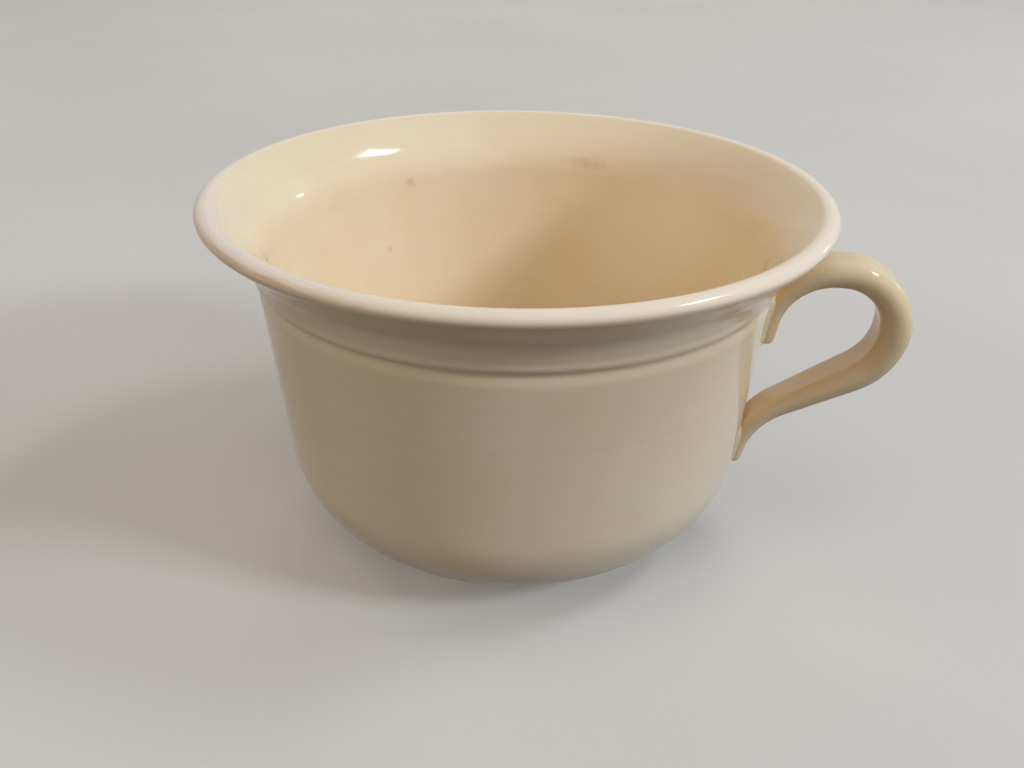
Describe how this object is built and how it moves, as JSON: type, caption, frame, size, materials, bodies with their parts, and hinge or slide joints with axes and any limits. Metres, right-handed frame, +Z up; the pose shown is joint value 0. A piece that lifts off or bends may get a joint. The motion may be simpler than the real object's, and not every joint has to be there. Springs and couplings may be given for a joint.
{
  "type": "chamber pot",
  "caption": "Deep round earthenware pot with a flared collar, rounded lip and foot ring, and a strap handle luted to its wall, for holding liquid.",
  "frame": {"origin": "centre of the foot ring's resting face, on the bowl's axis", "axes": "+Z up along the bowl's axis, +X towards the handle"},
  "size_m": [0.2617, 0.23, 0.138],
  "materials": {
    "cream_glaze": "glossy cream glaze over earthenware, worn on the lip, bare on the foot ring",
    "joint_slip": "glazed slip, slightly darker where the glaze pools"
  },
  "bodies": {
    "root": {"bowl": "cream_glaze", "handle": "cream_glaze", "upper_joint_slip": "joint_slip", "lower_joint_slip": "joint_slip"}
  },
  "joints": []
}
